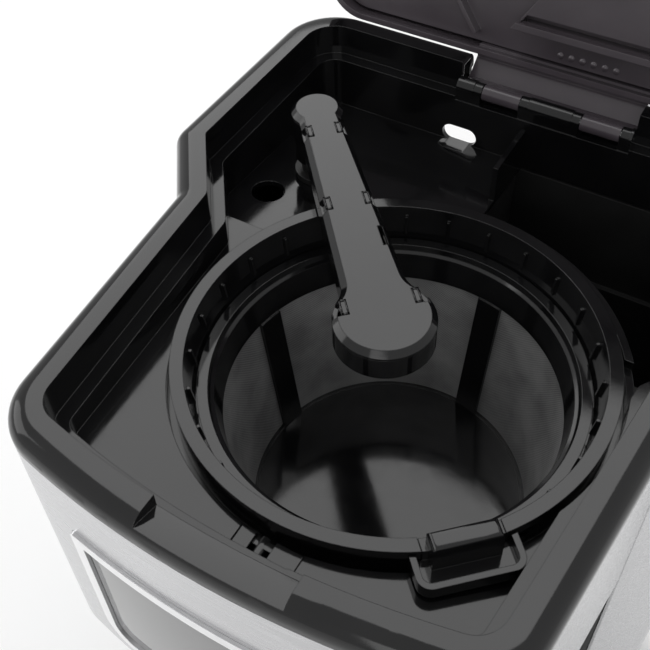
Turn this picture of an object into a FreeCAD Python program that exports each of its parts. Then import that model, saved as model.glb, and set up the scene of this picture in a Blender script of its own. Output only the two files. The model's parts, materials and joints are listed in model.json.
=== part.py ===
import FreeCAD, Part
import math
import os

import Sketcher
from FreeCAD import Placement, Rotation, Vector

# Drip coffee maker, in millimetres.  +Z is up, the front faces -Y and the machine's middle plane is X = 0.
# The origin is the centre of the flat face that the feet stand on.

doc = FreeCAD.newDocument("coffee_maker")
sheet = doc.addObject("Spreadsheet::Sheet", "Sizes")

SIZES = (
    # plan outline of the machine
    ("brew_x", 4.1, "brew axis, to the right of the middle plane"),
    ("brew_y", -22.0, "brew axis, in front of the middle"),
    ("half_width_brew", 86.6, "half width of the head beside the brew axis"),
    ("side_taper", 0.086, "how fast the head narrows towards the front"),
    ("jog_angle", 54.0, "angle of the oblique faces that widen the rear"),
    ("jog_reach", 74.4, "distance of the oblique faces from the origin"),
    ("half_width_rear", 107.1, "half width of the rear"),
    ("front_reach", 115.8, "front of the head, ahead of the origin"),
    ("front_radius", 313.0, "bow of the front face"),
    ("rim_back", 117.4, "back of the rim, behind the origin"),
    ("body_back", 106.5, "back of the body under the rim"),
    ("front_corner", 20.5, "corner radius at the front"),
    ("rear_corner", 23.0, "corner radius at the back of the rim"),
    # heights
    ("foot_height", 4.0, "rubber feet"),
    ("base_top", 46.0, "top of the base"),
    ("head_bottom", 221.0, "underside of the brew head"),
    ("flange_plane", 317.8, "top of the basket flange and of the lid ledge"),
    ("rim_top", 330.0, "top of the rim"),
    ("column_y", 50.0, "front of the column behind the carafe"),
    # walls
    ("wall", 2.2, "moulded wall"),
    ("sheet_steel", 1.0, "steel panels"),
    ("gap", 0.3, "gap between neighbouring pieces"),
    ("shoulder", 6.4, "rounded outer edge of the rim"),
    ("rim_inner", 11.0, "rim strip's inner edge, from the outer face"),
    ("ledge_inner", 15.9, "lid ledge's inner edge, from the outer face"),
    # brew basket and filter
    ("well_radius", 70.0, "mouth of the basket well"),
    ("flange_outer", 68.0, "basket flange, outside"),
    ("flange_inner", 63.8, "basket flange, inside"),
    ("basket_depth", 88.0, "basket, flange to bottom"),
    ("basket_foot", 56.0, "basket's inner radius at the bottom"),
    ("filter_rim", 57.8, "filter rim, inside"),
    ("filter_drop", 12.4, "filter rim, below the flange plane"),
    ("mesh_top_radius", 54.0, "mesh, inside at the top"),
    ("mesh_foot_radius", 47.0, "mesh, inside at the bottom"),
    ("mesh_high", 25.0, "top of the mesh, below the flange plane"),
    ("mesh_low", 78.0, "bottom of the mesh, below the flange plane"),
    ("rib_azimuth", 79.0, "first rib of the filter, from +X"),
    # swing arm
    ("pivot_x", -68.9, "arm pivot"),
    ("pivot_y", 56.0, "arm pivot"),
    ("arm_angle", -48.1, "arm direction, from +X"),
    ("arm_length", 103.4, "pivot to spray head"),
    ("arm_pivot_radius", 9.5, "pivot end of the arm"),
    ("arm_head_radius", 15.8, "spray head"),
    ("post_radius", 6.5, "water post that the arm turns on"),
    # lid
    ("hinge_y", 105.0, "lid hinge axis"),
    ("hinge_drop", 9.2, "lid hinge axis, below the rim top"),
    ("lid_open", 104.0, "angle that the lid is stored open at"),
    ("lid_thick", 14.0, "height of the lid"),
    ("lid_back", 95.0, "back edge of the lid beside the hinge"),
    ("hinge_half", 34.5, "half width of the hinge gap in the rim"),
    ("pin_radius", 1.5, "hinge pins"),
    # display
    ("window_half", 53.0, "display window, half width"),
    ("window_low", 230.0, "display window, bottom"),
    ("window_high", 297.0, "display window, top"),
    ("bezel_width", 4.6, "bright frame of the window"),
    ("button_radius", 4.2, "push buttons"),
    ("button_pitch", 15.0, "push buttons, spacing"),
    # heating and carafe
    ("plate_radius", 58.0, "warming plate"),
    ("carafe_radius", 66.0, "carafe, widest"),
    ("carafe_low", 47.3, "carafe's underside"),
    ("carafe_neck", 45.0, "carafe's neck"),
    ("carafe_height", 146.0, "glass of the carafe"),
)
for row, (alias, value, note) in enumerate(SIZES, start=1):
    sheet.set(f"A{row}", note)
    sheet.set(f"B{row}", str(value))
    sheet.setAlias(f"B{row}", alias)
doc.recompute()

PARTS = []


def size(alias):
    """One driving dimension."""
    return float(sheet.get(alias))


def number(text):
    """The value of an expression on the sheet."""
    return float(sheet.evalExpression(str(text)))


# ---------------------------------------------------------------- document objects


def keep(obj, label):
    """Name a finished sub-part and list it for export."""
    obj.Label = label
    PARTS.append(obj)
    return obj


def bind(obj, **expressions):
    """Tie properties of an object to expressions on the sheet."""
    for name, text in expressions.items():
        obj.setExpression(name.replace("__", "."), str(text))
    return obj


def place(obj, x="0", y="0", z="0"):
    """Tie an object's position to expressions on the sheet."""
    for axis, text in (("x", x), ("y", y), ("z", z)):
        obj.setExpression(f"Placement.Base.{axis}", str(text))
    return obj


def feature(label, shape, placement=None):
    """A sub-part whose shape comes from Part's own functions."""
    obj = doc.addObject("Part::Feature", label)
    obj.Shape = shape
    if placement is not None:
        obj.Placement = placement
    return keep(obj, label)


def box(name, x, y, z, dx, dy, dz):
    """A box from its low corner and its three sides."""
    obj = doc.addObject("Part::Box", name)
    bind(obj, Length=dx, Width=dy, Height=dz)
    return place(obj, x, y, z)


def cylinder(name, x, y, z, radius, height):
    """An upright cylinder."""
    obj = doc.addObject("Part::Cylinder", name)
    bind(obj, Radius=radius, Height=height)
    return place(obj, x, y, z)


def fused(name, members):
    """Several primitives as one solid or one group of solids."""
    obj = doc.addObject("Part::MultiFuse", name)
    obj.Shapes = members
    return obj


def cut(name, base, tool):
    """One object less another."""
    obj = doc.addObject("Part::Cut", name)
    obj.Base = base
    obj.Tool = tool
    return obj


def origin_item(body, role):
    """A plane or an axis of a body's own origin."""
    return next(item for item in body.Origin.OriginFeatures if item.Role == role)


def corner_sketch(body, role, corners):
    """A closed sketch of straight lines; every corner is dimensioned from the sheet."""
    sketch = body.newObject("Sketcher::SketchObject", body.Name + "_profile")
    sketch.AttachmentSupport = [(origin_item(body, role), "")]
    sketch.MapMode = "FlatFace"
    points = [Vector(number(u), number(v), 0) for u, v in corners]
    count = len(points)
    for index, point in enumerate(points):
        sketch.addGeometry(Part.LineSegment(point, points[(index + 1) % count]), False)
    for index in range(count):
        sketch.addConstraint(Sketcher.Constraint("Coincident", index, 2, (index + 1) % count, 1))
    for index, corner in enumerate(corners):
        for kind, axis, text in (("DistanceX", -2, corner[0]), ("DistanceY", -1, corner[1])):
            if abs(number(text)) < 1e-9:
                sketch.addConstraint(Sketcher.Constraint("PointOnObject", index, 1, axis))
                continue
            entry = sketch.addConstraint(Sketcher.Constraint(kind, -1, 1, index, 1, number(text)))
            sketch.setExpression(f"Constraints[{entry}]", str(text))
    return sketch


def turned(label, corners, x="Sizes.brew_x", y="Sizes.brew_y", z="0"):
    """A turned sub-part: (radius, height) corners spun about its own upright axis."""
    return keep(turned_body(label, corners, x, y, z), label)


def turned_body(label, corners, x, y, z):
    """A turned body that stands alone or joins a larger sub-part."""
    body = doc.addObject("PartDesign::Body", label)
    sketch = corner_sketch(body, "XZ_Plane", corners)
    spin = body.newObject("PartDesign::Revolution", label + "_turned")
    spin.Profile = sketch
    spin.ReferenceAxis = (sketch, ["V_Axis"])
    spin.Angle = 360
    body.Tip = spin
    return place(body, x, y, z)


# ---------------------------------------------------------------- plan outline


def meet(first, second):
    """Where two lines cross; a line is (normal x, normal y, reach)."""
    ax, ay, ac = first
    bx, by, bc = second
    det = ax * by - ay * bx
    return Vector((ac * by - ay * bc) / det, (ax * bc - ac * bx) / det, 0)


def corner_points(inset, back):
    """Sharp corners of the right half: front, oblique face's two ends, back."""
    taper = size("side_taper")
    norm = math.hypot(1, taper)
    side_reach = (size("half_width_brew") - taper * size("brew_y")) / norm - inset
    side = (1 / norm, -taper / norm, side_reach)
    angle = math.radians(size("jog_angle"))
    jog = (math.sin(angle), -math.cos(angle), size("jog_reach") - inset)
    rear = (1, 0, size("half_width_rear") - inset)
    end = (0, 1, back - inset)
    # the side line x = start + taper * y meets the bowed front
    radius = size("front_radius") - inset
    middle = size("front_radius") - size("front_reach")
    start = side_reach * norm
    half = start * taper - middle
    square = 1 + taper * taper
    y = (-half - math.sqrt(half * half - square * (start * start + middle * middle - radius * radius))) / square
    front = Vector(start + taper * y, y, 0)
    return [front, meet(side, jog), meet(jog, rear), meet(rear, end)]


def mirrored(point):
    """The same point on the left half."""
    return Vector(-point.x, point.y, point.z)


def plan_face(inset, back, rear_corner, jog_corner=9.0):
    """The machine's outline pulled in by `inset`, with rounded corners."""
    right = corner_points(inset, back)
    left = [mirrored(point) for point in right]
    nose = Vector(0, inset - size("front_reach"), 0)
    edges = [Part.Arc(left[0], nose, right[0]).toShape()]
    loop = right + left[::-1]
    for start, end in zip(loop, loop[1:]):
        edges.append(Part.LineSegment(start, end).toShape())
    block = Part.Face(Part.Wire(edges)).extrude(Vector(0, 0, 1))
    radii = (
        max(size("front_corner") - inset, 3.0),
        min(3.0 + max(inset, 0.0), 6.0),
        max(jog_corner - inset, 3.0),
        max(rear_corner - inset, 4.0),
    )
    for point, radius in zip(right, radii):
        upright = [
            edge
            for edge in block.Edges
            if edge.BoundBox.ZLength > 0.5
            and math.hypot(abs(edge.BoundBox.Center.x) - point.x, edge.BoundBox.Center.y - point.y) < 0.05
        ]
        block = block.makeFillet(radius, upright)
    return min(block.Faces, key=lambda face: face.CenterOfMass.z)


def rim_prism(inset, low, high):
    """A block with the rim's outline."""
    face = plan_face(inset, size("rim_back"), size("rear_corner"))
    return lifted(face.extrude(Vector(0, 0, high - low)), low)


def body_prism(inset, low, high):
    """A block with the outline of the body under the rim."""
    face = plan_face(inset, size("body_back"), size("rear_corner") - 9)
    return lifted(face.extrude(Vector(0, 0, high - low)), low)


def lifted(shape, height):
    """A shape moved up."""
    moved = shape.copy()
    moved.translate(Vector(0, 0, height))
    return moved


def block(x0, x1, y0, y1, z0, z1):
    """A plain block between two corners."""
    return Part.makeBox(x1 - x0, y1 - y0, z1 - z0, Vector(x0, y0, z0))


def rod(radius, low, high, x=None, y=None):
    """An upright rod, on the brew axis unless placed."""
    x = size("brew_x") if x is None else x
    y = size("brew_y") if y is None else y
    return Part.makeCylinder(radius, high - low, Vector(x, y, low))


def strip_x(points, x0, x1):
    """An outline in (y, z) given a width along X."""
    corners = [Vector(x0, y, z) for y, z in points]
    face = Part.Face(Part.makePolygon(corners + corners[:1]))
    return face.extrude(Vector(x1 - x0, 0, 0))


def obround(width, height, x, z, y0, y1):
    """A slot with round ends that runs along Y."""
    radius = height / 2
    reach = width / 2 - radius
    ends = [Part.makeCylinder(radius, y1 - y0, Vector(x + s * reach, y0, z), Vector(0, 1, 0)) for s in (-1, 1)]
    return ends[0].fuse(ends[1]).fuse(block(x - reach, x + reach, y0, y1, z - radius, z + radius))


# ---------------------------------------------------------------- top housing

FAR = 300.0
ledge = size("flange_plane")
rim_top = size("rim_top")
brew = Vector(size("brew_x"), size("brew_y"), 0)
wall = size("wall")


def floor_line(drop):
    """The tray floor's profile in (y, z), front to back, lowered by `drop`."""
    step = brew.y + 34
    return [
        (-FAR, ledge - 6.0 - drop),
        (brew.y - 83, ledge - 6.5 - drop),
        (step, ledge - 10.5 - drop),
        (step + 0.5, ledge - 15.0 - drop),
        (brew.y + 121, ledge - 21.0 - drop),
        (FAR, ledge - 21.0 - drop),
    ]


def above_floor(drop, top):
    """Everything over the lowered tray floor, up to `top`."""
    points = floor_line(drop)
    return strip_x(points + [(FAR, top), (-FAR, top)], -FAR, FAR)


def reservoir_mouth(margin):
    """The opening over the water tank, grown by `margin`."""
    region = rim_prism(size("ledge_inner") - margin, ledge - 40, ledge - 1)
    region = region.common(block(brew.x - 8 - margin, FAR, brew.y + 22 - margin, FAR, 0, FAR * 2))
    return region.cut(rod(73 - margin, 0, FAR * 2))


# top of the stop shelf below the hinge axis; the lid meets it within 2 degrees of its stored angle
LID_STOP_DROP = 4.95


def top_housing():
    """Rim, lid ledge, tray floor and basket well, moulded in one."""
    rim = rim_prism(0, rim_top - 8, rim_top)
    rim = rim.makeFillet(size("shoulder"), [e for e in rim.Edges if e.BoundBox.ZMin > rim_top - 0.01])
    skirt = rim_prism(size("sheet_steel") + size("gap"), ledge - 2, rim_top - 8)
    shape = rim.fuse(skirt)
    channel = rim_prism(3.5, ledge - 3, rim_top - 2.6).cut(rim_prism(9, ledge - 4, rim_top))
    channel = channel.cut(block(-25, 25, -FAR, brew.y - 60, 0, FAR * 2))
    shape = shape.cut([rim_prism(size("rim_inner"), ledge, rim_top + 1), channel])
    inside = size("ledge_inner")
    shape = shape.cut(rim_prism(inside, ledge - 3, ledge + 1))
    ring = rim_prism(inside - 2, ledge - 30, ledge - 1).cut(rim_prism(inside, ledge - 31, ledge))
    tray = rim_prism(inside - 2, ledge - 30, ledge - 1).cut(above_floor(0, ledge + 5))
    shape = shape.fuse([ring.common(above_floor(wall, ledge)), tray.common(above_floor(wall, ledge))])
    shape = shape.cut(reservoir_mouth(0))
    # rib on the back wall beside the water tank
    shape = shape.fuse(block(brew.x - 10, brew.x - 8, brew.y + 96, brew.y + 122, ledge - 20, ledge - 4))
    # pad for the two locating tiles in front of the basket
    pad = block(brew.x - 12, brew.x + 12.4, brew.y - 78.4, brew.y - 66, ledge - 13.4, ledge - 7.5)
    shape = shape.fuse(pad)
    shape = shape.cut(block(brew.x - 9.8, brew.x + 10.2, brew.y - 77.9, brew.y - 60, ledge - 11.6, ledge))
    # basket well
    well = rod(72.6, ledge - 14.4, ledge - 5).fuse(rod(69, ledge - 90, ledge - 12.2))
    well = well.cut(rod(size("well_radius"), ledge - 12, ledge + 20))
    well = well.cut(rod(66.8, ledge - 91, ledge))
    well = well.cut(block(brew.x - 6, brew.x + 6.4, brew.y - FAR, brew.y - 60, ledge - 7.2, ledge))
    shape = shape.cut(rod(66.8, ledge - 91, rim_top + 1))
    shape = shape.cut(rod(size("well_radius"), ledge - 12, rim_top + 1))
    # in front the mouth is flush with the tray floor; behind it stands proud as a collar
    shape = shape.fuse(well.cut(block(-FAR, FAR, -FAR, 12, ledge - 8.3, FAR * 2)))
    for x0, x1 in ((-9.5, -4.8), (1.6, 9.9)):
        shape = shape.fuse(block(brew.x + x0, brew.x + x1, brew.y - 77.9, brew.y - 69.6, ledge - 12, ledge - 7.1))
    rib = Part.makeCylinder(2.1, 9, Vector(brew.x - 2.2, brew.y - 78, ledge - 10.2), Vector(0, 1, 0))
    shape = shape.fuse(rib)
    # finger notch in the front of the rim
    notch = strip_x(
        [(-FAR, ledge + 10.6), (brew.y - 90, ledge + 9.8), (brew.y - 82, ledge + 7.4), (brew.y - 60, ledge + 7.4),
         (brew.y - 60, ledge + 40), (-FAR, ledge + 40)], -22.5, 22.5)
    shape = shape.cut(notch)
    # hole for the cable side, overflow slot
    shape = shape.cut(rod(6.3, ledge - 40, ledge, brew.x - 83.4, brew.y + 57.7))
    shape = shape.cut(obround(14.5, 7.6, brew.x - 35.5, ledge - 17.6, brew.y + 118, brew.y + 128))
    shape = shape.cut(rod(4.2, ledge - 40, ledge, size("pivot_x"), size("pivot_y")))
    # hinge gap and the ears that hold the lid's pins
    half = size("hinge_half")
    shape = shape.cut(block(-half, half, size("hinge_y") - 3.5, FAR, ledge - 1.6, FAR * 2))
    shape = shape.fuse(block(-half, half, size("hinge_y") - 3.6, size("hinge_y") + 2.6, ledge - 3.6, ledge - 1.6))
    axis = rim_top - size("hinge_drop")
    # the skirt behind the hinge makes way for the leaf
    shape = shape.cut(block(-half, half, size("hinge_y") + 2.6, FAR, ledge - 2.2, FAR * 2))
    # shelf that the leaf comes to rest on when the lid is open
    shelf = block(-half, half, size("hinge_y") + 2.4, size("hinge_y") + 9.4, ledge - 3.6, axis - LID_STOP_DROP)
    shape = shape.fuse(shelf)
    for x0, x1 in ((-half, -27.6), (-5.6, 11.4), (33.4, half)):
        knuckle = Part.makeCylinder(3.6, x1 - x0, Vector(x0, size("hinge_y"), axis), Vector(1, 0, 0))
        bore = Part.makeCylinder(size("pin_radius") + 0.02, x1 - x0, Vector(x0, size("hinge_y"), axis), Vector(1, 0, 0))
        web = block(x0, x1, size("hinge_y") - 3.2, size("hinge_y") + 2.2, ledge - 1.7, axis)
        shape = shape.fuse([knuckle, web]).cut(bore)
    for x in ear_places():
        ear = Part.makeCylinder(3.2, 3.2, Vector(x, size("hinge_y"), axis), Vector(1, 0, 0))
        ear = ear.fuse(block(x, x + 3.2, size("hinge_y") - 3.2, size("hinge_y") + 2.2, ledge - 1.7, axis))
        hole = Part.makeCylinder(size("pin_radius"), 4, Vector(x - 0.4, size("hinge_y"), axis), Vector(1, 0, 0))
        shape = shape.fuse(ear).cut(hole)
    return shape.removeSplitter()


def ear_places():
    """Low X of each hinge ear."""
    return (-27.6, -8.8, 11.4, 30.2)


feature("top_housing", top_housing())

# ---------------------------------------------------------------- steel skin and casings

head_bottom = size("head_bottom")
base_top = size("base_top")
steel = size("sheet_steel")
gap = size("gap")
column_y = size("column_y")


def window_frame(margin, y0, y1):
    """The window's outline, grown by `margin`, as a block along Y: sharp on top, round below."""
    half = size("window_half") + margin
    low, high = size("window_low") - margin, size("window_high") + margin
    radius = 12.0 + margin
    solid = block(-half, half, y0, y1, low, high)
    lower = [e for e in solid.Edges if e.BoundBox.YLength > 1 and e.BoundBox.Center.z < low + 1]
    upper_radius = max(1.5 + margin, 0.6)
    solid = solid.makeFillet(radius, lower)
    upper = [e for e in solid.Edges if e.BoundBox.YLength > 1 and e.BoundBox.ZMin > high - 0.01
             and e.BoundBox.XLength < 0.01]
    return solid.makeFillet(upper_radius, upper)


def skin(low, high):
    """The steel skin all round the machine."""
    return body_prism(0, low, high).cut(body_prism(steel, low - 1, high + 1))


def seam_y():
    """Where the front wrap meets the side panels."""
    return corner_points(0, size("body_back"))[1].y


skin_top = rim_top - 8 - gap / 2
front = skin(head_bottom, skin_top).common(block(-FAR, FAR, -FAR, seam_y() - 0.4, 0, FAR * 2))
front = front.cut(window_frame(0.15, -FAR, 0))
feature("front_wrap", front)

for side, low_x, high_x in (("left", -FAR, 0), ("right", 0, FAR)):
    panel = skin(base_top + gap, skin_top).common(block(low_x, high_x, seam_y() + 0.4, 84, 0, FAR * 2))
    feature(f"side_panel_{side}", panel)

floor_piece = body_prism(steel + gap, head_bottom, head_bottom + 3)
floor_piece = floor_piece.common(block(-FAR, FAR, -FAR, column_y + 4, 0, FAR * 2))
collar = rod(26, head_bottom - 4, head_bottom + 3)
floor_piece = floor_piece.fuse(collar).cut(rod(22, head_bottom - 5, head_bottom + 4))
for index in range(5):
    slot_y = -84 + 6 * index
    floor_piece = floor_piece.cut(block(-70, -34, slot_y, slot_y + 2.4, head_bottom - 1, head_bottom + 4))
    floor_piece = floor_piece.cut(block(42, 70, slot_y, slot_y + 2.4, head_bottom - 1, head_bottom + 4))
feature("head_floor", floor_piece)

half_inside = size("half_width_rear") - steel - gap
panel = block(-half_inside, half_inside, column_y + 0.2, column_y + 2.8, base_top + gap, head_bottom - gap)
panel = panel.cut(Part.makeCylinder(74, 90, Vector(brew.x, brew.y, 110)))
# the wings' lining, from the seam back to the column
lining = body_prism(steel + gap, base_top + gap, head_bottom - gap)
lining = lining.cut(body_prism(steel + gap + wall, base_top, head_bottom))
lining = lining.common(block(-FAR, FAR, seam_y() + 0.8, column_y + 2.8, 0, FAR))
feature("column_front", panel.fuse(lining).removeSplitter())

back = body_prism(0, base_top + gap, ledge - 4).cut(body_prism(wall, base_top, ledge))
back = back.common(block(-FAR, FAR, 84.4, FAR, 0, FAR * 2))
for index in range(9):
    back = back.cut(obround(44, 3, -52, 70 + 8 * index, 100, 120))
back = back.cut(obround(30, 22, brew.x - 38, ledge - 25, 100, 120))
feature("back_cover", back)

# ---------------------------------------------------------------- base


def base_housing():
    """Base shell with the seat of the warming plate and the band's recess."""
    low = size("foot_height")
    shape = body_prism(0, low, base_top)
    shape = shape.makeFillet(2.5, [e for e in shape.Edges if e.BoundBox.ZMin > base_top - 0.01])
    shape = shape.cut(body_prism(wall, low - 1, base_top - wall))
    band = body_prism(-1, 14, 38).cut(body_prism(steel, 13, 39))
    shape = shape.cut(band.common(block(-FAR, FAR, -FAR, 60.2, 0, FAR)))
    shape = shape.fuse(rod(64, base_top - 4.2, base_top - wall)).cut(rod(61, 0, base_top + 1))
    inner = body_prism(6, base_top - 10, base_top + 1).common(block(-FAR, FAR, column_y + 8, FAR, 0, FAR))
    shape = shape.cut(inner)
    return shape.cut(Part.makeCylinder(8, 20, Vector(-62, 95, 26), Vector(0, 1, 0))).removeSplitter()


feature("base_housing", base_housing())
trim = body_prism(0, 14.2, 37.8).cut(body_prism(steel - 0.05, 13, 39))
feature("base_trim", trim.common(block(-FAR, FAR, -FAR, 60, 0, FAR)))


FOOT_PLACES = ((-66, -84), (66, -84), (-88, 84), (88, 84), (0, 0))
SCREW_PLACES = ((-70, -62), (70, -62), (-90, 58), (90, 58), (0, 92))
VENT_START, VENT_PITCH, VENT_COUNT = 14, 7, 7


def bottom_cover():
    """Flat cover under the base, with vent slots and screw holes."""
    low = size("foot_height")
    shape = body_prism(wall + 0.2, low, low + 2)
    for index in range(VENT_COUNT):
        start = VENT_START + VENT_PITCH * index
        shape = shape.cut(block(-40, 40, start, start + 3, low - 1, low + 3))
    for x, y in SCREW_PLACES:
        shape = shape.cut(rod(1.7, low - 1, low + 3, x, y))
    return shape


feature("bottom_cover", bottom_cover())

feet = []
for index, (x, y) in enumerate(FOOT_PLACES):
    pad = doc.addObject("Part::Cone", f"foot_{index}")
    bind(pad, Radius1="8.5", Radius2="9.5", Height="Sizes.foot_height - 0.02")
    feet.append(place(pad, x, y, 0))
keep(fused("rubber_feet", feet), "rubber_feet")

screws = []
for index, (x, y) in enumerate(SCREW_PLACES):
    screws.append(cylinder(f"screw_head_{index}", x, y, "Sizes.foot_height - 1.6", "3.2", "1.6"))
    screws.append(cylinder(f"screw_shank_{index}", x, y, "Sizes.foot_height", "1.5", "12"))
keep(fused("base_screws", screws), "base_screws")

# ---------------------------------------------------------------- heating

plate_low = "Sizes.base_top - 0.6"
turned(
    "warming_plate",
    [("0", "0"), ("Sizes.plate_radius - 2", "0"), ("Sizes.plate_radius - 2", "-4"),
     ("Sizes.plate_radius", "-4"), ("Sizes.plate_radius", "0.8"), ("Sizes.plate_radius - 1", "1.6"),
     ("0", "1.6")],
    z=plate_low)
turned(
    "plate_gasket",
    [("Sizes.plate_radius + 0.2", "-5"), ("Sizes.plate_radius + 2.8", "-5"), ("Sizes.plate_radius + 2.8", "0.1"),
     ("Sizes.plate_radius + 4.6", "0.1"), ("Sizes.plate_radius + 4.6", "0.9"), ("Sizes.plate_radius + 0.2", "0.9")],
    z="Sizes.base_top")


def swept_tube(points, bend, radius, bore=0.0):
    """A round tube along straight runs joined by tangent arcs."""
    wire = bent_path(points, bend)
    start = wire.Edges[0]
    direction = start.tangentAt(start.FirstParameter)
    rings = [Part.Wire(Part.makeCircle(r, points[0], direction)) for r in (radius, bore) if r > 0]
    solids = [wire.makePipeShell([ring], True, False) for ring in rings]
    return solids[0].cut(solids[1]) if len(solids) > 1 else solids[0]


def bent_path(points, bend):
    """The points' straight runs with each inner corner rounded by `bend`."""
    edges, last = [], points[0]
    for before, corner, after in zip(points, points[1:], points[2:]):
        first, second = (corner - before).normalize(), (after - corner).normalize()
        turn = first.getAngle(second)
        reach = bend * math.tan(turn / 2)
        start, end = corner - first * reach, corner + second * reach
        inward = (second - first).normalize()
        middle = corner + inward * (bend / math.cos(turn / 2) - bend)
        edges.append(Part.LineSegment(last, start).toShape())
        edges.append(Part.Arc(start, middle, end).toShape())
        last = end
    edges.append(Part.LineSegment(last, points[-1]).toShape())
    return Part.Wire(edges)


heater_z = base_top - 12.6
heater_reach = 38.0
heater_y = brew.y + 44.0
HEATER_LEGS = (brew.x - heater_reach, brew.x + heater_reach)


def heater():
    """U-shaped cast heater; water enters at the right leg and leaves at the left."""
    ends = [Vector(x, heater_y, heater_z) for x in HEATER_LEGS]
    bends = [Vector(x, brew.y, heater_z) for x in HEATER_LEGS]
    arc = Part.Arc(bends[0], Vector(brew.x, brew.y - heater_reach, heater_z), bends[1]).toShape()
    legs = [Part.LineSegment(ends[0], bends[0]).toShape(), Part.LineSegment(bends[1], ends[1]).toShape()]
    path = Part.Wire([legs[0], arc, legs[1]])
    section = Part.Wire(Part.makeCircle(7, ends[0], Vector(0, -1, 0)))
    return path.makePipeShell([section], True, False)


feature("heater_tube", heater())
keep(box("heater_clamp", "Sizes.brew_x - 46", "Sizes.brew_y - 7", "Sizes.base_top - 21.5", 92, 14, 1.6), "heater_clamp")
turned("thermostat", [("0", "0"), ("8", "0"), ("8", "6"), ("11", "6"), ("11", "8.4"), ("0", "8.4")],
       z="Sizes.base_top - 12")
fuses = [cylinder(f"fuse_{i}", f"Sizes.brew_x + {x}", "Sizes.brew_y + 14", "Sizes.base_top - 8", 2.4, 5)
         for i, x in enumerate((-8, 8))]
keep(fused("thermal_fuses", fuses), "thermal_fuses")

# hoses: cold water from the tank to the heater, hot water from the heater to the water post
tank_out = Vector(46, 78, 52)
cold = [Vector(HEATER_LEGS[1], heater_y + 0.2, heater_z), Vector(HEATER_LEGS[1], 44, heater_z),
        Vector(tank_out.x, tank_out.y, heater_z), tank_out]
hot = [Vector(HEATER_LEGS[0], heater_y + 0.2, heater_z), Vector(HEATER_LEGS[0], 52, heater_z),
       Vector(size("pivot_x"), 72, heater_z), Vector(size("pivot_x"), 72, 210),
       Vector(size("pivot_x"), size("pivot_y"), 250), Vector(size("pivot_x"), size("pivot_y"), ledge - 27)]
feature("cold_hose", swept_tube(cold, 9, 6, 4))
feature("riser_hose", swept_tube(hot, 16, 6, 4))

# ---------------------------------------------------------------- water tank


def tank_shape(margin, low):
    """The tank's outline, shrunk by `margin`, from `low` up."""
    top = ledge - 24.6
    mouth = rim_prism(13.5 + margin, 246 + low, top).cut(rod(71 + margin, 0, FAR * 2))
    mouth = mouth.common(block(brew.x - 12 + margin, FAR, brew.y + 22 + margin, FAR, 0, FAR * 2))
    column = block(brew.x - 12 + margin, 93.6 - margin, column_y + 6 + margin, 101.8 - margin, 62 + low, top)
    return mouth.fuse(column)


tank = tank_shape(0, 0).cut(lifted(tank_shape(2, 2), 0.01))
tank = tank.cut(lifted(tank_shape(2, 2).common(block(-FAR, FAR, -FAR, FAR, ledge - 30, FAR * 2)), 3))
tank = tank.fuse(rod(7.6, 58.2, 62, tank_out.x, tank_out.y)).cut(rod(4.2, 50, 70, tank_out.x, tank_out.y))
feature("water_tank", tank.removeSplitter())
turned("check_valve", [("2.4", "0"), ("6.8", "0"), ("6.8", "2"), ("5.6", "2.6"), ("5.6", "5.6"), ("2.4", "5.6")],
       x=str(tank_out.x), y=str(tank_out.y), z="52.3")
turned("tank_strainer", [("0", "0"), ("9", "0"), ("9", "1.2"), ("7", "6"), ("0", "7")],
       x=str(tank_out.x), y=str(tank_out.y), z="64.1")

# ---------------------------------------------------------------- water post and swing arm

on_flange = {"x": "Sizes.brew_x", "y": "Sizes.brew_y", "z": "Sizes.flange_plane"}
on_pivot = {"x": "Sizes.pivot_x", "y": "Sizes.pivot_y", "z": "Sizes.flange_plane - 17.3"}

turned(
    "water_post",
    [("2.6", "-9.6"), ("4", "-9.6"), ("4", "0"), ("9.2", "0"), ("9.2", "2.3"), ("Sizes.post_radius", "2.3"),
     ("Sizes.post_radius", "13.9"), ("5.4", "13.9"), ("5.4", "16"), ("Sizes.post_radius", "16"),
     ("Sizes.post_radius", "21.3"), ("2.6", "21.3")],
    **on_pivot)
turned("post_seal", [("5.45", "14.1"), ("6.45", "14.1"), ("6.45", "15.8"), ("5.45", "15.8")], **on_pivot)

arm_place = Placement(
    Vector(size("pivot_x"), size("pivot_y"), ledge), Rotation(Vector(0, 0, 1), size("arm_angle")))
arm_length = size("arm_length")
CLIPS = ((13.5, 7.6), (52.0, 8.9), (98.0, 13.6))


def arm_block(inset, low, high):
    """The arm's outline, pulled in by `inset`: a small round end, a tapered neck and a round head."""
    pivot = Part.makeCylinder(size("arm_pivot_radius") - inset, high - low, Vector(0, 0, low))
    head = Part.makeCylinder(size("arm_head_radius") - inset, high - low, Vector(arm_length, 0, low))
    corners = [Vector(0, -7.4 + inset, low), Vector(arm_length, -10.6 + inset, low),
               Vector(arm_length, 10.6 - inset, low), Vector(0, 7.4 - inset, low)]
    neck = Part.Face(Part.makePolygon(corners + corners[:1])).extrude(Vector(0, 0, high - low))
    solid = pivot.fuse([neck, head]).removeSplitter()
    waist = [e for e in solid.Edges if e.BoundBox.ZLength > (high - low) * 0.9
             and 80 < e.BoundBox.Center.x < arm_length - 5 and e.BoundBox.XLength < 0.01]
    return solid.makeFillet(9.0 + inset, waist)


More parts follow.
